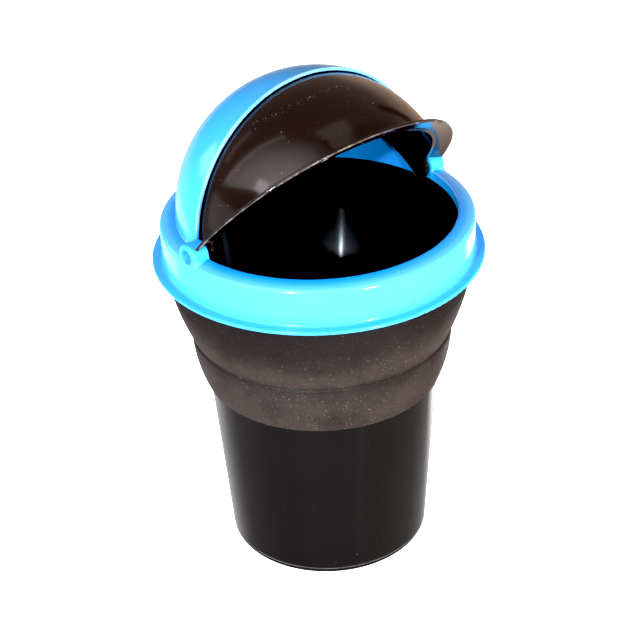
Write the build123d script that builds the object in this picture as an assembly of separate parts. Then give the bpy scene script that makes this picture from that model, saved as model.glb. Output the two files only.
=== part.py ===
from build123d import *
import math
import os

# Car trash bin, millimetres, +Z up, origin at the centre of the foot.
# The hinge axis runs along X and the mouth faces -Y.

# Cup foot: the tapered lower part that stands in a cup holder
foot_radius = 35.0
foot_round = 2.0
foot_ring_width = 3.7
foot_recess = 0.8
gate_well_radius = 3.5
gate_well_depth = 0.5
floor_thickness = 1.9
floor_round = 3.0
wall = 1.6
rim_round = 0.5

# Shoulder where the smooth foot ends and the rubber grip begins
shoulder_radius = 39.66
shoulder_height = 65.3

# Grip band: two bulges stacked on the flare, with a crease between and a straight land above
grip_thickness = 1.2
lower_bulge_radius = 44.85
lower_bulge_height = 83.3
lower_bulge_sagitta = 0.85
crease_depth = 0.4
crease_rise = 0.6
upper_bulge_sagitta = 0.5
land_height = 9.4
grip_edge_round = 0.35

# Collar: ring, flange and skirt pushed over the cup's rim
collar_radius = 52.6
collar_wall = 1.6
flange_width = 3.4
flange_thickness = 1.2
flange_fillet = 0.8
flange_edge_round = 0.55
ring_width = 5.8
ring_depth = 3.3
ring_slope = 14.5
ring_outer_round = 1.5
ring_inner_round = 0.5
lip_thickness = 1.2
lip_drop = 0.4
skirt_depth = 12.0
stop_rib_count = 8
stop_rib_width = 1.6

# Clearances between pieces that move on each other
push_fit_gap = 0.3
grip_gap = 0.4
lid_gap = 0.4
brim_gap = 0.3
pin_gap = 0.08
boss_gap = 1.4

# Hinge and dome: hood and lid share the centre on the hinge axis
hinge_height = 127.6
hinge_above_ring = 0.5
hood_overlap = 0.2
hood_wall = 1.1
hood_front_angle = 92.4
hood_edge_round = 0.3
boss_radius = 4.4
boss_overhang = 0.4
boss_foot_fillet = 1.5
boss_foot_spread = 1.8
boss_outer_round = 1.0
boss_inner_round = 0.5
pin_hole_radius = 2.5
pin_hole_chamfer = 0.35

# Lid
lid_wall = 1.2
lid_rear_angle = 94.0
lid_open_in_photo = 50.0
brim_inset = 1.0
brim_thickness = 1.2
brim_edge_round = 0.45
ear_radius = 4.0
ear_thickness = 1.3
ear_recess = 0.3
pin_recess = 2.4
pin_tip_chamfer = 0.8

# Heights that follow from the hinge downwards
HINGE = Location((0, 0, hinge_height))
ring_inner_height = hinge_height - hinge_above_ring
rim_stop_height = ring_inner_height - ring_depth
lip_bottom = rim_stop_height - lip_drop
flange_bottom = rim_stop_height - skirt_depth
flange_top = flange_bottom + flange_thickness
grip_top = flange_bottom - grip_gap
upper_bulge_height = grip_top - land_height
crease_height = lower_bulge_height + crease_rise
floor_top = foot_recess + floor_thickness

# Radii that follow from the collar inwards
flange_radius = collar_radius + flange_width
skirt_inner = collar_radius - collar_wall
rim_outer = skirt_inner - push_fit_gap
upper_bulge_radius = rim_outer
crease_radius = lower_bulge_radius - crease_depth
ring_inner_radius = collar_radius - ring_width
lip_outer = ring_inner_radius + lip_thickness
rim_inner = lip_outer + push_fit_gap
hood_radius = ring_inner_radius + hood_overlap
hood_inner = hood_radius - hood_wall
lid_radius = hood_inner - lid_gap
lid_inner = lid_radius - lid_wall
brim_radius = collar_radius - brim_inset
boss_inner_end = ring_inner_radius - boss_overhang
ear_outer_face = lid_radius - ear_recess
ear_inner_face = ear_outer_face - ear_thickness
pin_tip = collar_radius - pin_recess
pin_radius = pin_hole_radius - pin_gap

# How closely an edge has to lie where it is looked for
match = 0.01


def ring_top(radius):
    """Height of the sloping top of the ring at a radius."""
    return ring_inner_height - (radius - ring_inner_radius) * math.tan(math.radians(ring_slope))


# Fully open, the top of the brim lies along the hood's front edge
brim_rise = ring_top(lid_radius) + brim_gap + brim_thickness - hinge_height
hood_setback = brim_rise + lid_gap


def flare(inset):
    """Side line of the flare from shoulder to grip top, moved in towards the axis."""
    start = (shoulder_radius + grip_thickness - inset, shoulder_height)
    lower = (lower_bulge_radius - inset, lower_bulge_height)
    crease = (crease_radius - inset, crease_height)
    upper = (upper_bulge_radius - inset, upper_bulge_height)
    top = (upper_bulge_radius - inset, grip_top)
    edges = [
        SagittaArc(start, lower, -lower_bulge_sagitta),
        Line(lower, crease),
        SagittaArc(crease, upper, -upper_bulge_sagitta),
        Line(upper, top),
    ]
    return edges, start, top


def turned(chain):
    """Solid of revolution about Z from a closed chain of lines in the radius-height plane."""
    edges = []
    for line in chain:
        edges.extend(line.edges())
    return revolve(Plane.XZ * make_face(edges), Axis.Z)


def swept_dome(radius, thickness, start, end):
    """Spherical shell swept about the hinge axis from one opening angle to another."""
    eye = pin_radius / 2
    inner = radius - thickness
    outer_end = math.sqrt(radius**2 - eye**2)
    inner_end = math.sqrt(inner**2 - eye**2)
    section = make_face([
        ThreePointArc((outer_end, eye), (0, radius), (-outer_end, eye)).edge(),
        Line((-outer_end, eye), (-inner_end, eye)).edge(),
        ThreePointArc((-inner_end, eye), (0, inner), (inner_end, eye)).edge(),
        Line((inner_end, eye), (outer_end, eye)).edge(),
    ])
    front = Plane((0, 0, hinge_height), x_dir=(1, 0, 0), z_dir=(0, 0, -1))
    opening = Axis((0, 0, hinge_height), (-1, 0, 0))
    dome = revolve(front * section, opening, end - start)
    return dome.rotate(opening, start)


def cut_plane(angle, setback):
    """Plane along the hinge axis at an opening angle, set back behind the axis."""
    turn = math.radians(angle)
    back = Vector(0, math.sin(turn), math.cos(turn))
    return Plane(Vector(0, 0, hinge_height) + back * setback, x_dir=(1, 0, 0), z_dir=back)


def along_hinge(radius, near, far):
    """Pair of round bars on the hinge axis, one each side, from near to far of the middle."""
    bar = Cylinder(radius, far - near)
    right = HINGE * Pos((near + far) / 2, 0, 0) * Rot(0, 90, 0) * bar
    left = HINGE * Pos(-(near + far) / 2, 0, 0) * Rot(0, 90, 0) * bar
    return right + left


def rim_edges(part, radius, height):
    """Circular edges of a turned part at one radius and height."""
    found = []
    for edge in part.edges().filter_by(GeomType.CIRCLE):
        same_height = abs(edge.center(CenterOf.BOUNDING_BOX).Z - height) < match
        if same_height and abs(edge.radius - radius) < match:
            found.append(edge)
    return found


def make_bin_body():
    outer, outer_start, outer_top = flare(grip_thickness)
    inner, inner_start, inner_top = flare(grip_thickness + wall)
    foot_inner = foot_radius - wall + (shoulder_radius - foot_radius) * floor_top / shoulder_height
    foot_ring_inner = foot_radius - foot_round - foot_ring_width - foot_recess
    chain = [
        Polyline(
            (0, foot_recess),
            (foot_ring_inner, foot_recess),
            (foot_ring_inner + foot_recess, 0),
            (foot_radius, 0),
            outer_start,
        ),
        *outer,
        Polyline(
            outer_top,
            (rim_outer, grip_top),
            (rim_outer, rim_stop_height),
            (rim_inner, rim_stop_height),
            inner_top,
        ),
        *inner,
        Polyline(inner_start, (foot_inner, floor_top), (0, floor_top), (0, foot_recess)),
    ]
    body = turned(chain)
    body = fillet(rim_edges(body, foot_radius, 0), foot_round)
    body = fillet(rim_edges(body, foot_inner, floor_top), floor_round)
    body = fillet(rim_edges(body, rim_outer, rim_stop_height), rim_round)
    body -= Pos(0, 0, foot_recess + gate_well_depth / 2) * Cylinder(gate_well_radius, gate_well_depth)
    return body


def make_grip_band():
    outer, outer_start, outer_top = flare(0)
    inner, inner_start, inner_top = flare(grip_thickness)
    chain = [Line(inner_start, outer_start), *outer, Line(outer_top, inner_top), *inner]
    band = turned(chain)
    return fillet(rim_edges(band, outer_start[0], shoulder_height), grip_edge_round)


def make_ring():
    roof_outer = ring_top(skirt_inner) - collar_wall
    roof_inner = ring_top(lip_outer) - collar_wall
    ring = turned([
        Polyline(
            (skirt_inner, flange_bottom),
            (flange_radius, flange_bottom),
            (flange_radius, flange_top),
            (collar_radius, flange_top),
            (collar_radius, ring_top(collar_radius)),
            (ring_inner_radius, ring_inner_height),
            (ring_inner_radius, lip_bottom),
            (lip_outer, lip_bottom),
            (lip_outer, roof_inner),
            (skirt_inner, roof_outer),
            (skirt_inner, flange_bottom),
        )
    ])
    ring = fillet(rim_edges(ring, collar_radius, flange_top), flange_fillet)
    edges = rim_edges(ring, flange_radius, flange_top) + rim_edges(ring, flange_radius, flange_bottom)
    ring = fillet(edges, flange_edge_round)
    ring = fillet(rim_edges(ring, collar_radius, ring_top(collar_radius)), ring_outer_round)
    return fillet(rim_edges(ring, ring_inner_radius, ring_inner_height), ring_inner_round)


def make_bosses():
    # Round saddle section, spread at its foot onto the ring
    foot = ring_top(collar_radius)
    section = Circle(boss_radius)
    base = Rectangle(2 * (boss_radius + boss_foot_spread), foot - rim_stop_height)
    section += Pos(0, (foot + rim_stop_height) / 2 - hinge_height) * base
    base_bottom = rim_stop_height - hinge_height
    corners = [v for v in section.vertices() if abs(v.X) < boss_radius and v.Y > base_bottom + match]
    section = fillet(corners, boss_foot_fillet)

    # Across the ring, flush with its outer wall and cut level above the channel
    side = Plane((boss_inner_end, 0, hinge_height), x_dir=(0, 1, 0), z_dir=(1, 0, 0))
    boss = extrude(side * section, collar_radius - boss_inner_end)
    boss &= Pos(0, 0, rim_stop_height + 2 * boss_radius) * Cylinder(collar_radius, 4 * boss_radius)
    outer_end = boss.faces().sort_by(Axis.X)[-1]
    boss = fillet([e for e in outer_end.edges() if e.center().Z > foot - match], boss_outer_round)
    inner_end = boss.faces().sort_by(Axis.X)[0]
    boss = fillet([e for e in inner_end.edges() if e.center().Z > foot - match], boss_inner_round)
    return boss + mirror(boss, Plane.YZ)


def make_hooded_collar():
    collar = make_ring()

    # Rear dome, swept about the hinge axis, with a short skirt that carries it down the lip
    dome = swept_dome(hood_radius, hood_wall, 0, 180)
    dome = split(dome, bisect_by=cut_plane(hood_front_angle, hood_setback), keep=Keep.TOP)
    front_face = dome.faces().filter_by(GeomType.PLANE).sort_by(Axis.Z)[-1]
    collar += fillet([e for e in front_face.edges() if e.length > hood_radius], hood_edge_round)
    skirt_height = hinge_height - lip_bottom
    skirt = Cylinder(hood_radius, skirt_height) - Cylinder(hood_inner, skirt_height)
    skirt = Pos(0, 0, lip_bottom + skirt_height / 2) * skirt
    collar += split(skirt, bisect_by=Plane.XZ, keep=Keep.BOTTOM)

    # Hinge bosses that straddle the ring
    collar += make_bosses()

    # Ribs in the channel that the cup's rim stops against
    rib_length = skirt_inner - lip_outer
    rib_height = ring_inner_height - rim_stop_height - collar_wall
    for index in range(stop_rib_count):
        rib = Box(rib_length, stop_rib_width, rib_height)
        rib = Pos(lip_outer + rib_length / 2, 0, rim_stop_height + rib_height / 2) * rib
        collar += Rot(0, 0, (index + 0.5) * 360 / stop_rib_count) * rib

    # Cross holes for the lid's pins, eased at the outer wall
    collar -= along_hinge(pin_hole_radius, ear_inner_face, flange_radius)
    rims = []
    for edge in collar.edges():
        middle = edge.center(CenterOf.BOUNDING_BOX)
        on_axis = math.hypot(middle.Y, middle.Z - hinge_height) < pin_gap
        if on_axis and abs(middle.X) > skirt_inner and edge.length > 2 * pin_hole_radius:
            rims.append(edge)
    return chamfer(rims, pin_hole_chamfer)


def make_swing_lid():
    # Spherical shell, closed, from the brim over the top to a rear edge that runs tangent to the ears
    lid = swept_dome(lid_radius, lid_wall, 0, 180)
    lid = split(lid, bisect_by=cut_plane(lid_rear_angle, ear_radius), keep=Keep.BOTTOM)

    # Brim round the front edge, parallel to the ring it closes on
    seat = lid_radius - lid_wall / 2
    brim = turned([
        Polyline(
            (seat, ring_top(seat) + brim_gap),
            (brim_radius, ring_top(brim_radius) + brim_gap),
            (brim_radius, ring_top(brim_radius) + brim_gap + brim_thickness),
            (seat, ring_top(seat) + brim_gap + brim_thickness),
            (seat, ring_top(seat) + brim_gap),
        )
    ])
    edges = rim_edges(brim, brim_radius, ring_top(brim_radius) + brim_gap)
    edges += rim_edges(brim, brim_radius, ring_top(brim_radius) + brim_gap + brim_thickness)
    brim = fillet(edges, brim_edge_round)
    brim = split(brim, bisect_by=Plane.XZ, keep=Keep.TOP)
    brim -= along_hinge(boss_radius + boss_gap, ear_inner_face, flange_radius)
    lid += brim

    # Ears with pivot pins, their tips bevelled to spring into the bosses
    lid += along_hinge(ear_radius, ear_inner_face, ear_outer_face)
    pins = along_hinge(pin_radius, ear_inner_face, pin_tip)
    tips = [edge for edge in pins.edges() if abs(edge.center().X) > pin_tip - match]
    lid += chamfer(tips, pin_tip_chamfer)
    swing = HINGE * Rot(-lid_open_in_photo, 0, 0) * HINGE.inverse()
    return swing * lid


nodes = {
    "bin_body": make_bin_body(),
    "grip_band": make_grip_band(),
    "hooded_collar": make_hooded_collar(),
    "swing_lid": make_swing_lid(),
}

os.makedirs("parts", exist_ok=True)
for name, shape in nodes.items():
    shape.label = name
    export_step(shape, "parts/" + name + ".step")
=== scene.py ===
import math

import bpy
from mathutils import Matrix, Vector


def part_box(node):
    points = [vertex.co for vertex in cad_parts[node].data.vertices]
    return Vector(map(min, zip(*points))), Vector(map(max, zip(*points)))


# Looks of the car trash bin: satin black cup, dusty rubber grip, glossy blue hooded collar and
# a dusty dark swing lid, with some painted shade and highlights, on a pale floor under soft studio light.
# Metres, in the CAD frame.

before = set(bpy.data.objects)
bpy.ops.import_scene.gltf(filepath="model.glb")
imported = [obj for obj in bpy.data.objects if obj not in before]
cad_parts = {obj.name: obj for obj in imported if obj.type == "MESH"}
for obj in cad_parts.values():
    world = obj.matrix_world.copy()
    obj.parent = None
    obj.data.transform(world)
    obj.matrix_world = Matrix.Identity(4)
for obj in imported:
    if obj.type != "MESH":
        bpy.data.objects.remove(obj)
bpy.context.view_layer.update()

# View of the photograph, with angles in degrees and the lens in millimetres
VIEW_AZIMUTH = 36.4
VIEW_ELEVATION = 31.327
VIEW_ROLL = -2.382
VIEW_DISTANCE = 0.6101
VIEW_TARGET_RIGHT = -0.00061
VIEW_TARGET_HEIGHT = 0.08354
LENS = 99.48
SENSOR = 36.0
NEAR_CLIP = 0.01
BLACK_LEVEL = 0.012

# Places on the object that the finishes and the painted shade and highlights follow: heights are from the
# floor, levels from the hinge
HINGE = Vector((0, 0, 0.1276))
LID_OPEN_TURN = math.radians(50)
BRIM_RADIUS = 0.0516
BRIM_LEVEL = -0.0008
LID_REAR = 0.0040
LID_REAR_TURN = math.radians(94)
RING_EDGE_RADIUS = 0.0468
RING_TOP_LEVEL = -0.0005
HOOD_INNER_RADIUS = 0.0459
HOOD_FRONT = 0.00174
HOOD_FRONT_TURN = math.radians(92.4)
HOOD_EDGE_LEVEL = 0.004
BAND_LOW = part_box("grip_band")[0][2]
BAND_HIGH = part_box("grip_band")[1][2]
CREASE_HEIGHT = 0.0833
FOOT_EDGE_HEIGHT = 0.0025
FOOT_DUST_HEIGHT = 0.004
INSIDE_HEIGHT = 0.074
FLANK_START = 0.018
FLANK_END = 0.032
UPPER_START = 0.087
UPPER_END = 0.101

# Colours of the mouldings, the clouded ones as pairs, of the dust and wear on them, and of painted shade and
# highlights
BLUE_CLOUDS = ((0.031, 0.385, 0.90), (0.038, 0.420, 0.95))
BLUE_LINING_SHADE = (0.008, 0.10, 0.42)
BLUE_EDGE_HIGHLIGHT = (0.34, 0.66, 0.97)
BLUE_DUST = (0.45, 0.62, 0.75)
BROWN_CLOUDS = ((0.0050, 0.0022, 0.0018), (0.0068, 0.0032, 0.0027))
BROWN_DUST_WEAR_AND_HIGHLIGHT = (0.28, 0.23, 0.20)
BLACK_CLOUDS = ((0.0026, 0.0022, 0.0022), (0.0040, 0.0034, 0.0034))
BLACK_DUST_AND_HIGHLIGHT = (0.16, 0.15, 0.145)
RUBBER_CLEAN_AND_SHADED = (0.0080, 0.0054, 0.0050)
RUBBER_DUSTY_AND_LIT = (0.0305, 0.0222, 0.0205)
RUBBER_DUST = (0.20, 0.160, 0.135)
FLOOR_COLOUR = (0.36, 0.36, 0.36)

# Painted shade and highlight on the collar's ring top, at distances outwards from the ring's inner edge:
# deeper blue by the inner edge, paler on the outer rounding
RING_SPAN = 0.009
RING_SHADE_AND_HIGHLIGHT_TONES = (
    (0.0006, (0.007, 0.265, 0.83)),
    (0.0025, (0.026, 0.360, 0.90)),
    (0.0040, (0.090, 0.500, 0.96)),
    (0.0052, (0.090, 0.500, 0.96)),
    (0.0060, (0.044, 0.415, 0.95)),
)

# How dusty and lit the grip is painted at heights up it: painted shade under the flange and at the crease,
# and paler bulge lips, partly dust and partly painted light from below
GRIP_DUST_AND_PAINTED_LIGHT = (
    (BAND_LOW, 0.82),
    (BAND_LOW + 0.004, 0.92),
    (BAND_LOW + 0.012, 0.86),
    (CREASE_HEIGHT - 0.004, 0.75),
    (CREASE_HEIGHT - 0.001, 0.55),
    (CREASE_HEIGHT - 0.0002, 0.38),
    (CREASE_HEIGHT + 0.0006, 0.38),
    (CREASE_HEIGHT + 0.0012, 0.65),
    (CREASE_HEIGHT + 0.003, 0.92),
    (CREASE_HEIGHT + 0.007, 0.88),
    (CREASE_HEIGHT + 0.011, 0.55),
    (CREASE_HEIGHT + 0.016, 0.26),
    (CREASE_HEIGHT + 0.022, 0.10),
    (BAND_HIGH - 0.001, 0.0),
)

# Dust trails and pale strokes by a pivot on the lid, as lines from place to place
LID_TRAILS = (
    ((-0.0246, -0.0013, 0.1659), (-0.0195, -0.0052, 0.1684)),
    ((-0.0195, -0.0052, 0.1684), (-0.0089, -0.0079, 0.1715)),
    ((-0.0089, -0.0079, 0.1715), (0.0051, -0.0079, 0.1721)),
    ((0.0066, -0.0096, 0.1716), (0.0079, -0.0150, 0.1698)),
    ((0.0079, -0.0150, 0.1698), (0.0111, -0.0185, 0.1676)),
)
LID_PALE_STROKES = (
    ((-0.0500, -0.0080, 0.1354), (-0.0471, -0.0058, 0.1338)),
    ((-0.0471, -0.0070, 0.1340), (-0.0435, -0.0025, 0.1307)),
)
TRAIL_REACH = 0.0011
PALE_STROKE_REACH = 0.0008
SPECK_SOFTNESS = 0.35

# Square softboxes: degrees to the right of the view and above the floor, distance, size, watts, tint
KEYS = {
    "key_left": (-21, 22.6, 0.62, 0.02, 4.7, (0.76, 0.90, 1.0)),
    "key_right": (32, 9, 0.70, 0.05, 5.6, (1.0, 0.98, 0.98)),
    "spot_left": (-56, 34, 0.75, 0.12, 0.17, (1.0, 0.95, 0.98)),
}
FILLS = {
    "fill_left": (-85, 8, 0.80, 0.30, 2.6, (1.0, 1.0, 1.0)),
    "fill_right": (74, 5, 0.80, 0.30, 2.8, (1.0, 1.0, 1.0)),
}

# Narrow lamps: direction of the lower end, of the upper end, watts, tint
STRIPS = {
    "strip_near": ((-90.5, 20), (-90.5, 70), 0.12, (1.0, 0.95, 0.92)),
    "strip_far": ((-104, 25), (-117, 45), 0.04, (1.0, 0.92, 0.88)),
}
STRIP_DISTANCE = 0.95
STRIP_WIDTH = 0.055

# Side panel: ends of its lower edge, to the right, towards the view and up from the hinge
PANEL_FAR_END = (-0.955, -0.05, 0.262)
PANEL_NEAR_END = (0.28, 0.536, 0.23)
PANEL_HEIGHT = 2.6
PANEL_WATTS = 46.0
PANEL_TINT = (1.0, 0.92, 0.94)
PANEL_GLOW_SPOT = (0.90, 0.0)
PANEL_GLOW_REACH = 0.55

# Floor that stays pale far from the lights
FLOOR_REACH = 6.0
FLOOR_GLOW = 3.0

# Studio around the object: colours at bearings to the right of the view, in degrees
TABLE_TONES = (
    (-180, (0.90, 0.89, 0.88)),
    (-140, (0.73, 0.72, 0.71)),
    (-112, (0.37, 0.34, 0.34)),
    (-60, (0.37, 0.33, 0.34)),
    (-10, (0.48, 0.43, 0.45)),
    (40, (0.41, 0.37, 0.37)),
    (110, (0.33, 0.30, 0.28)),
    (140, (0.50, 0.46, 0.45)),
    (180, (0.90, 0.89, 0.88)),
)
UNDER_TONES = (
    (-180, (1.25, 0.95, 0.75)),
    (-140, (0.45, 0.40, 0.36)),
    (-112, (0.18, 0.16, 0.16)),
    (110, (0.26, 0.23, 0.22)),
    (140, (0.45, 0.40, 0.36)),
    (180, (1.25, 0.95, 0.75)),
)
WALL_TONES = (
    (-180, (0.35, 0.28, 0.25)),
    (-155, (0.17, 0.15, 0.15)),
    (-110, (0.20, 0.17, 0.17)),
    (-98, (0.38, 0.30, 0.27)),
    (100, (0.40, 0.31, 0.28)),
    (118, (0.82, 0.57, 0.42)),
    (165, (0.82, 0.57, 0.42)),
    (180, (0.35, 0.28, 0.25)),
)
CEILING = (0.46, 0.33, 0.29)

# Cards in the studio: degrees from west to east, from low to high, softness of the edges, colour
CARDS = (
    (-98, -45, -12, 6, 3, (0.92, 0.88, 0.86)),
    (-126, -113, 6, 17, 3, (3.0, 3.0, 3.0)),
    (112, 172, -22, 10, 6, (0.86, 0.60, 0.45)),
    (141, 145, -5, 30, 2, (0.16, 0.10, 0.08)),
    (138, 158, -33, -25, 3, (4.5, 4.5, 4.5)),
    (-152, -126, -32, -22, 3, (1.7, 1.7, 1.7)),
    (55, 128, 68, 89, 3, (1.00, 0.80, 0.72)),
)
CARD_RISE_SOFTNESS = 0.02

# Directions seen from the photograph's side: to its right, towards it, and up
view_turn = math.radians(VIEW_AZIMUTH)
RIGHT = Vector((math.cos(view_turn), -math.sin(view_turn), 0))
FRONT = Vector((-math.sin(view_turn), -math.cos(view_turn), 0))
UP = Vector((0, 0, 1))


def toward(azimuth, elevation):
    """Unit vector at an angle to the right of the photograph's view and above the floor."""
    turn = math.radians(azimuth)
    rise = math.radians(elevation)
    level = RIGHT * math.sin(turn) + FRONT * math.cos(turn)
    return level * math.cos(rise) + UP * math.sin(rise)


def from_hinge(right, front, up):
    """Place at distances from the hinge, as seen from the photograph's side."""
    return HINGE + RIGHT * right + FRONT * front + UP * up


def rearward(turn):
    """Direction turned about the hinge's axis from straight up towards the back."""
    return (0, math.sin(turn), math.cos(turn))


def grey(level):
    """Colour with no hue."""
    return (level, level, level)


def opaque(colour):
    """Colour with its alpha, or a socket as it is."""
    return colour if isinstance(colour, bpy.types.NodeSocket) else (*colour, 1)


def add_node(tree, kind, inputs=None, **settings):
    """New node with its settings, and its inputs set to values or linked to sockets."""
    node = tree.nodes.new(kind)
    for name, value in settings.items():
        setattr(node, name, value)
    set_inputs(tree, node, inputs or {})
    return node


def set_inputs(tree, node, values):
    """Sets a node's inputs to values, or links them to sockets."""
    for name, value in values.items():
        socket = node.inputs[name]
        if isinstance(value, bpy.types.NodeSocket):
            tree.links.new(value, socket)
        else:
            socket.default_value = value


def math_node(tree, operation, first, second=0.0):
    """Result of one sum on numbers or sockets."""
    return add_node(tree, "ShaderNodeMath", {0: first, 1: second}, operation=operation).outputs[0]


def vector_node(tree, operation, first, second=(0, 0, 0), result="Vector"):
    """Result of one sum on vectors or sockets."""
    node = add_node(tree, "ShaderNodeVectorMath", {0: first, 1: second}, operation=operation)
    return node.outputs[result]


def along(tree, vector, direction):
    """How far a vector reaches in a direction."""
    return vector_node(tree, "DOT_PRODUCT", vector, direction, "Value")


def length_of(tree, vector):
    """Length of a vector."""
    return vector_node(tree, "LENGTH", vector, result="Value")


def radius_of(tree, vector):
    """Distance of a vector's end from the upright axis."""
    return length_of(tree, vector_node(tree, "MULTIPLY", vector, (1, 1, 0)))


def height_of(tree, vector):
    """Upright part of a vector."""
    return add_node(tree, "ShaderNodeSeparateXYZ", {"Vector": vector}).outputs["Z"]


def ease(tree, value, low, high, out_low=0.0, out_high=1.0):
    """Smooth step of a socket from one range to another."""
    inputs = {"Value": value, "From Min": low, "From Max": high, "To Min": out_low, "To Max": out_high}
    node = add_node(tree, "ShaderNodeMapRange", inputs, interpolation_type="SMOOTHSTEP")
    return node.outputs["Result"]


def share_of_range(tree, value, low, high):
    """Share of the way along a range, kept between nought and one."""
    inputs = {"Value": value, "From Min": low, "From Max": high}
    return add_node(tree, "ShaderNodeMapRange", inputs).outputs["Result"]


def between(tree, value, low, high, soft):
    """One where a socket lies between two values, with soft ends outside them."""
    risen = ease(tree, value, low - soft, low)
    return math_node(tree, "MULTIPLY", risen, ease(tree, value, high, high + soft, 1.0, 0.0))


def steps(tree, value, low, high, stops):
    """Colours at stops along a range of a socket, blended in between."""
    ramp = add_node(tree, "ShaderNodeValToRGB", {"Fac": share_of_range(tree, value, low, high)})
    marks = ramp.color_ramp.elements
    for index, (level, colour) in enumerate(stops):
        mark = marks[index] if index < len(marks) else marks.new(1.0)
        mark.position = (level - low) / (high - low)
        mark.color = opaque(colour)
    return ramp.outputs["Color"]


def blend_colours(tree, share, first, second):
    """Mix of two colours by a share."""
    node = add_node(tree, "ShaderNodeMix", data_type="RGBA")
    set_inputs(tree, node, {0: share, 6: opaque(first), 7: opaque(second)})
    return node.outputs[2]


def noise(tree, place, scale, detail=2.0, roughness=0.5):
    """Soft random clouds of a scale."""
    inputs = {"Vector": place, "Scale": scale, "Detail": detail, "Roughness": roughness}
    return add_node(tree, "ShaderNodeTexNoise", inputs).outputs["Fac"]


def specks(tree, place, spacing, size, share):
    """Round dust specks: one in a share of the cells of a spacing, each with its own size."""
    cells = add_node(tree, "ShaderNodeTexVoronoi", {"Vector": place, "Scale": 1 / spacing})
    lot = add_node(tree, "ShaderNodeSeparateColor", {"Color": cells.outputs["Color"]})
    reach = math_node(tree, "MULTIPLY", lot.outputs["Green"], size / spacing)
    inside = math_node(tree, "SUBTRACT", reach, cells.outputs["Distance"])
    spot = ease(tree, inside, 0.0, SPECK_SOFTNESS * size / spacing)
    chosen = math_node(tree, "LESS_THAN", lot.outputs["Red"], share)
    return math_node(tree, "MULTIPLY", spot, chosen)


def near_lines(tree, place, lines, reach):
    """One on any of the lines from place to place, fading to nothing at a reach from them."""
    nearest = None
    for start, end in lines:
        line = Vector(end) - Vector(start)
        offset = vector_node(tree, "SUBTRACT", place, start)
        share = share_of_range(tree, along(tree, offset, line), 0.0, line.length_squared)
        foot = vector_node(tree, "MULTIPLY", share, line)
        gap = vector_node(tree, "DISTANCE", offset, foot, "Value")
        nearest = gap if nearest is None else math_node(tree, "MINIMUM", nearest, gap)
    return ease(tree, nearest, 0.0, reach, 1.0, 0.0)


def bump(tree, height, strength, distance):
    """Normals tilted by a height pattern."""
    inputs = {"Height": height, "Strength": strength, "Distance": distance}
    return add_node(tree, "ShaderNodeBump", inputs).outputs["Normal"]


def new_material(name):
    """Material with an empty tree and its shader."""
    material = bpy.data.materials.new(name)
    material.use_nodes = True
    tree = material.node_tree
    tree.nodes.clear()
    shader = add_node(tree, "ShaderNodeBsdfPrincipled")
    add_node(tree, "ShaderNodeOutputMaterial", {"Surface": shader.outputs["BSDF"]})
    return material, tree, shader


def place_on_piece(tree):
    """Place on a piece in the CAD frame, with the object at rest."""
    return add_node(tree, "ShaderNodeTexCoord").outputs["Object"]


def blue_plastic():
    """Glossy blue moulding with faint flow clouds and some dust, with painted shade on the ring top and
    inside the hood, and painted highlights on the ring's outer rounding and along the edges.
    """
    material, tree, shader = new_material("blue_plastic")
    place = place_on_piece(tree)
    offset = vector_node(tree, "SUBTRACT", place, HINGE)
    level = height_of(tree, offset)
    outward = math_node(tree, "SUBTRACT", radius_of(tree, place), RING_EDGE_RADIUS)
    colour = blend_colours(tree, noise(tree, place, 40.0, 3.0), *BLUE_CLOUDS)

    # Painted shade and highlight on the ring top: deeper blue by the inner edge, paler on the outer rounding
    ring = ease(tree, outward, 0.0001, 0.0004)
    under_top = ease(tree, level, RING_TOP_LEVEL - 0.0001, RING_TOP_LEVEL + 0.0002, 1.0, 0.0)
    ring = math_node(tree, "MULTIPLY", ring, under_top)
    colour = blend_colours(tree, ring, colour, steps(tree, outward, 0.0, RING_SPAN, RING_SHADE_AND_HIGHLIGHT_TONES))
    # Painted shade: the hood's inner face, under the lid, painted a deeper blue
    reach = length_of(tree, offset)
    lining_shade = ease(tree, reach, HOOD_INNER_RADIUS + 0.0002, HOOD_INNER_RADIUS + 0.0004, 0.6, 0.0)
    colour = blend_colours(tree, lining_shade, colour, BLUE_LINING_SHADE)

    # Painted highlight: pale lines along the hood's front edge and the ring's inner edge, where the rounded
    # edges catch light
    behind = along(tree, offset, rearward(HOOD_FRONT_TURN))
    hood_edge = ease(tree, behind, HOOD_FRONT + 0.0005, HOOD_FRONT + 0.0011, 1.0, 0.0)
    above_ring = ease(tree, level, HOOD_EDGE_LEVEL, 2 * HOOD_EDGE_LEVEL)
    hood_edge = math_node(tree, "MULTIPLY", hood_edge, above_ring)
    ring_edge = between(tree, outward, -0.0001, 0.0003, 0.0002)
    top_edge = between(tree, level, RING_TOP_LEVEL - 0.0005, RING_TOP_LEVEL + 0.0001, 0.0002)
    ring_edge = math_node(tree, "MULTIPLY", ring_edge, top_edge)
    edge_highlight = ease(tree, noise(tree, place, 80.0, 4.0), 0.3, 0.7, 0.35, 0.65)
    edge_highlight = math_node(tree, "MULTIPLY", math_node(tree, "MAXIMUM", hood_edge, ring_edge), edge_highlight)
    colour = blend_colours(tree, edge_highlight, colour, BLUE_EDGE_HIGHLIGHT)

    dust = specks(tree, place, spacing=0.0035, size=0.0004, share=0.15)
    colour = blend_colours(tree, math_node(tree, "MULTIPLY", dust, 0.35), colour, BLUE_DUST)
    set_inputs(tree, shader, {
        "Base Color": colour,
        "Roughness": ease(tree, noise(tree, place, 90.0, 4.0), 0.3, 0.7, 0.13, 0.18),
        "Normal": bump(tree, noise(tree, place, 700.0), 0.04, 0.0002),
    })
    return material


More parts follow.
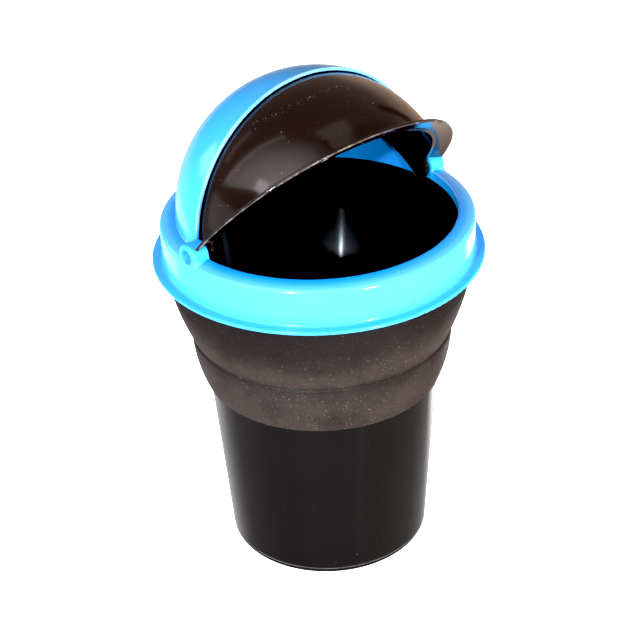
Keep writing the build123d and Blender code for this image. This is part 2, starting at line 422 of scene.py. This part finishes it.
def brown_plastic():
    """Glossy dark brown moulding: dust in trails and specks, pale strokes by a pivot, and pale edge lines,
    partly worn and partly painted highlight.
    """
    material, tree, shader = new_material("brown_plastic")
    place = place_on_piece(tree)
    colour = blend_colours(tree, noise(tree, place, 60.0, 3.0), *BROWN_CLOUDS)

    trail = near_lines(tree, place, LID_TRAILS, TRAIL_REACH)
    trail = math_node(tree, "MULTIPLY", trail, specks(tree, place, spacing=0.0006, size=0.00034, share=0.75))
    loose = specks(tree, place, spacing=0.0017, size=0.00025, share=0.60)
    dust = math_node(tree, "MAXIMUM", trail, math_node(tree, "MULTIPLY", loose, 0.7))
    grain = ease(tree, noise(tree, place, 1600.0, 3.0), 0.42, 0.60)
    pale_strokes = math_node(tree, "MULTIPLY", near_lines(tree, place, LID_PALE_STROKES, PALE_STROKE_REACH), grain)

    offset = vector_node(tree, "SUBTRACT", place, HINGE)
    closed = add_node(tree, "ShaderNodeVectorRotate", {"Vector": offset, "Angle": LID_OPEN_TURN},
                      rotation_type="X_AXIS").outputs["Vector"]
    # Pale line along the brim's lower edge, partly worn and partly painted highlight, and a painted
    # highlight along the lid's rear edge
    brim = ease(tree, radius_of(tree, closed), BRIM_RADIUS - 0.0007, BRIM_RADIUS - 0.0003)
    below = ease(tree, height_of(tree, closed), BRIM_LEVEL - 0.0003, BRIM_LEVEL, 1.0, 0.0)
    brim = math_node(tree, "MULTIPLY", brim, below)
    behind = along(tree, closed, rearward(LID_REAR_TURN))
    edge = math_node(tree, "MAXIMUM", brim, ease(tree, behind, LID_REAR - 0.0006, LID_REAR - 0.0003))
    wear_and_painted_light = ease(tree, noise(tree, place, 170.0, 6.0, 0.75), 0.44, 0.70, 0.15, 1.0)
    edge = math_node(tree, "MULTIPLY", edge, wear_and_painted_light)

    mark = math_node(tree, "MAXIMUM", math_node(tree, "MAXIMUM", dust, pale_strokes), edge)
    set_inputs(tree, shader, {
        "Base Color": blend_colours(tree, math_node(tree, "MULTIPLY", mark, 0.6), colour, BROWN_DUST_WEAR_AND_HIGHLIGHT),
        "Roughness": ease(tree, mark, 0.0, 1.0, 0.12, 0.5),
        "Normal": bump(tree, noise(tree, place, 900.0), 0.03, 0.0002),
    })
    return material


def black_plastic():
    """Satin black moulding with turned tool marks, dull inner flanks, dust by the foot and a pale painted
    highlight along the foot edge.
    """
    material, tree, shader = new_material("black_plastic")
    place = place_on_piece(tree)
    height = height_of(tree, place)
    colour = blend_colours(tree, noise(tree, place, 50.0, 3.0), *BLACK_CLOUDS)

    # Painted highlight: a pale line along the foot edge, broken up by noise
    edge = between(tree, height, FOOT_EDGE_HEIGHT - 0.0001, FOOT_EDGE_HEIGHT + 0.0001, 0.0002)
    wear_and_painted_light = ease(tree, noise(tree, place, 120.0, 5.0, 0.7), 0.35, 0.65, 0.45, 1.0)
    edge = math_node(tree, "MULTIPLY", edge, wear_and_painted_light)
    low = ease(tree, height, FOOT_DUST_HEIGHT, 3 * FOOT_DUST_HEIGHT, 0.6, 0.25)
    dust = math_node(tree, "MULTIPLY", specks(tree, place, spacing=0.0022, size=0.00026, share=0.25), low)
    mark = math_node(tree, "MULTIPLY", math_node(tree, "MAXIMUM", edge, dust), 0.5)

    aside = math_node(tree, "ABSOLUTE", along(tree, place, RIGHT))
    flanks = ease(tree, aside, FLANK_START, FLANK_END, 0.0, 0.14)
    flanks = math_node(tree, "MULTIPLY", flanks, ease(tree, height, INSIDE_HEIGHT, INSIDE_HEIGHT + 0.004))
    upper = ease(tree, height, UPPER_START, UPPER_END, 0.0, 0.035)
    gloss = ease(tree, noise(tree, place, 35.0), 0.3, 0.7, 0.115, 0.125)
    gloss = math_node(tree, "SUBTRACT", math_node(tree, "ADD", gloss, flanks), upper)
    set_inputs(tree, shader, {
        "Base Color": blend_colours(tree, mark, colour, BLACK_DUST_AND_HIGHLIGHT),
        "Roughness": gloss,
        "Normal": bump(tree, noise(tree, place, 1500.0), 0.02, 0.0002),
        "Tangent": add_node(tree, "ShaderNodeTangent", direction_type="RADIAL", axis="Z").outputs[0],
        "Anisotropic": 1.0,
        "Anisotropic Rotation": 0.25,
        "Specular IOR Level": 0.48,
        "Coat Weight": 0.18,
        "Coat Roughness": 0.28,
    })
    return material


def grip_rubber():
    """Matte soft rubber with dust specks, painted shade under the flange and at the crease, and paler bulge
    lips, partly dust and partly painted light.
    """
    material, tree, shader = new_material("grip_rubber")
    place = place_on_piece(tree)
    # Painted shade and light with dust up the grip: dark under the flange and at the crease, paler on the
    # bulges' lower lips
    dust_and_light_stops = [(height, grey(share)) for height, share in GRIP_DUST_AND_PAINTED_LIGHT]
    wear_and_painted_light = steps(tree, height_of(tree, place), BAND_LOW, BAND_HIGH, dust_and_light_stops)
    cloud = ease(tree, noise(tree, place, 45.0, 6.0, 0.65), 0.28, 0.72, 0.45, 1.45)
    wear_and_painted_light = math_node(tree, "MULTIPLY", wear_and_painted_light, cloud)
    colour = blend_colours(tree, wear_and_painted_light, RUBBER_CLEAN_AND_SHADED, RUBBER_DUSTY_AND_LIT)

    coarse = specks(tree, place, spacing=0.0013, size=0.00028, share=0.50)
    fine = specks(tree, place, spacing=0.0006, size=0.00020, share=0.80)
    dust = math_node(tree, "MAXIMUM", coarse, math_node(tree, "MULTIPLY", fine, 0.6))
    dust = math_node(tree, "MULTIPLY", dust, ease(tree, wear_and_painted_light, 0.0, 0.8, 0.18, 0.60))
    set_inputs(tree, shader, {
        "Base Color": blend_colours(tree, dust, colour, RUBBER_DUST),
        "Roughness": ease(tree, wear_and_painted_light, 0.0, 0.5, 0.68, 0.52),
        "Normal": bump(tree, noise(tree, place, 2500.0, 3.0), 0.25, 0.0003),
        "Specular IOR Level": 0.12,
    })
    return material


def dress(node, material):
    """Gives a CAD piece its finish."""
    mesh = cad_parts[node].data
    mesh.materials.clear()
    mesh.materials.append(material)


def add_floor():
    """Wide pale floor, luminous so that it stays pale far from the lights and in the object's shade."""
    mesh = bpy.data.meshes.new("floor")
    corners = [(x * FLOOR_REACH, y * FLOOR_REACH, 0) for x, y in ((-1, -1), (1, -1), (1, 1), (-1, 1))]
    mesh.from_pydata(corners, [], [(0, 1, 2, 3)])
    floor = bpy.data.objects.new("floor", mesh)
    bpy.context.scene.collection.objects.link(floor)
    floor.visible_glossy = False
    material, tree, shader = new_material("pale_floor")
    set_inputs(tree, shader, {
        "Base Color": opaque(FLOOR_COLOUR),
        "Roughness": 0.9,
        "Specular IOR Level": 0.0,
        "Emission Color": opaque(grey(1.0)),
        "Emission Strength": FLOOR_GLOW,
    })
    mesh.materials.append(material)


def stand(thing, place, side, over, away):
    """Puts a lamp or camera at a place, with its own right, up and back directions."""
    thing.matrix_world = Matrix((
        (side.x, over.x, away.x, place.x),
        (side.y, over.y, away.y, place.y),
        (side.z, over.z, away.z, place.z),
        (0, 0, 0, 1),
    ))


def add_softbox(name, place, away, over, width, height, power, colour):
    """Rectangular lamp shining back along a direction, not seen by the camera itself."""
    light = bpy.data.lights.new(name, "AREA")
    light.shape = "RECTANGLE"
    light.size = width
    light.size_y = height
    light.energy = power
    light.color = colour
    lamp = bpy.data.objects.new(name, light)
    bpy.context.scene.collection.objects.link(lamp)
    lamp.visible_camera = False
    side = over.cross(away).normalized()
    stand(lamp, place, side, away.cross(side), away)
    return lamp


def glow_from(lamp, spot, reach):
    """Makes a softbox brightest at a spot on its face, measured from its lower corner."""
    lamp.data.use_nodes = True
    tree = lamp.data.node_tree
    tree.nodes.clear()
    face = add_node(tree, "ShaderNodeNewGeometry").outputs["Parametric"]
    place = vector_node(tree, "MULTIPLY", face, (lamp.data.size, lamp.data.size_y, 0))
    gap = vector_node(tree, "DISTANCE", place, (*spot, 0), "Value")
    strength = math_node(tree, "EXPONENT", math_node(tree, "DIVIDE", gap, -reach))
    emission = add_node(tree, "ShaderNodeEmission", {"Strength": strength})
    add_node(tree, "ShaderNodeOutputLight", {"Surface": emission.outputs[0]})


def add_key(name, azimuth, elevation, distance, size, power, colour):
    """Square softbox in a direction, facing the hinge."""
    away = toward(azimuth, elevation)
    return add_softbox(name, HINGE + away * distance, away, UP, size, size, power, colour)


def add_strip(name, low, high, power, colour):
    """Narrow lamp along a line between two directions, facing the hinge."""
    low_end = toward(*low) * STRIP_DISTANCE
    high_end = toward(*high) * STRIP_DISTANCE
    middle = (low_end + high_end) / 2
    over = high_end - low_end
    add_softbox(name, HINGE + middle, middle.normalized(), over, STRIP_WIDTH, over.length, power, colour)


def add_side_panel():
    """Upright panel whose lower edge runs from the far left to over the camera."""
    far_end = from_hinge(*PANEL_FAR_END)
    near_end = from_hinge(*PANEL_NEAR_END)
    edge = near_end - far_end
    away = edge.cross(UP).normalized()
    over = away.cross(edge).normalized()
    middle = (far_end + near_end) / 2 + over * PANEL_HEIGHT / 2
    panel = add_softbox("side_panel", middle, away, over, edge.length, PANEL_HEIGHT, PANEL_WATTS, PANEL_TINT)
    panel.visible_diffuse = False
    glow_from(panel, PANEL_GLOW_SPOT, PANEL_GLOW_REACH)


def add_lights():
    """Small softboxes either side of the camera, broad fills at both sides, the left panel and strips."""
    for name, setting in KEYS.items():
        add_key(name, *setting)
    for name, setting in FILLS.items():
        fill = add_key(name, *setting)
        fill.visible_glossy = False
    add_side_panel()
    for name, setting in STRIPS.items():
        add_strip(name, *setting)


def round_tones(tree, bearing, tones):
    """Colours all the way round, from a table of bearings in degrees."""
    stops = [(math.radians(degrees), colour) for degrees, colour in tones]
    return steps(tree, bearing, -math.pi, math.pi, stops)


def add_world():
    """Studio around the object: a warm dim room above, a pale table below, darker in front, and cards."""
    world = bpy.data.worlds.new("studio")
    bpy.context.scene.world = world
    world.use_nodes = True
    tree = world.node_tree
    tree.nodes.clear()
    direction = add_node(tree, "ShaderNodeTexCoord").outputs["Generated"]
    height = along(tree, direction, UP)
    bearing = math_node(tree, "ARCTAN2", along(tree, direction, RIGHT), along(tree, direction, FRONT))
    table = round_tones(tree, bearing, TABLE_TONES)
    under = round_tones(tree, bearing, UNDER_TONES)
    table = blend_colours(tree, ease(tree, height, -0.80, -0.62, 1.0, 0.0), table, under)
    wall = round_tones(tree, bearing, WALL_TONES)
    room = blend_colours(tree, ease(tree, height, 0.15, 0.45), wall, CEILING)
    surround = blend_colours(tree, ease(tree, height, -0.25, 0.0), table, room)
    for west, east, low, high, soft, colour in CARDS:
        across = between(tree, bearing, math.radians(west), math.radians(east), math.radians(soft))
        bottom = math.sin(math.radians(low))
        top = math.sin(math.radians(high))
        rise = between(tree, height, bottom, top, CARD_RISE_SOFTNESS * soft)
        surround = blend_colours(tree, math_node(tree, "MULTIPLY", across, rise), surround, colour)
    background = add_node(tree, "ShaderNodeBackground", {"Color": surround, "Strength": 1.0})
    add_node(tree, "ShaderNodeOutputWorld", {"Surface": background.outputs[0]})


def add_camera():
    """Camera at the photograph's angle."""
    rise = math.radians(VIEW_ELEVATION)
    roll = math.radians(VIEW_ROLL)
    back = FRONT * math.cos(rise) + UP * math.sin(rise)
    over = back.cross(RIGHT)
    side = RIGHT * math.cos(roll) + over * math.sin(roll)
    top = over * math.cos(roll) - RIGHT * math.sin(roll)
    place = RIGHT * VIEW_TARGET_RIGHT + UP * VIEW_TARGET_HEIGHT + back * VIEW_DISTANCE
    lens = bpy.data.cameras.new("photo_view")
    lens.lens = LENS
    lens.sensor_width = SENSOR
    lens.clip_start = NEAR_CLIP
    camera = bpy.data.objects.new("photo_view", lens)
    bpy.context.scene.collection.objects.link(camera)
    stand(camera, place, side, top, back)
    bpy.context.scene.camera = camera


def set_tones():
    """Plain display colours, with the deepest shades falling to black."""
    tones = bpy.context.scene.view_settings
    tones.view_transform = "Standard"
    tones.use_curve_mapping = True
    tones.curve_mapping.black_level = grey(BLACK_LEVEL)
    tones.curve_mapping.update()


dress("bin_body", black_plastic())
dress("grip_band", grip_rubber())
dress("hooded_collar", blue_plastic())
dress("swing_lid", brown_plastic())
add_floor()
add_lights()
add_world()
add_camera()
set_tones()
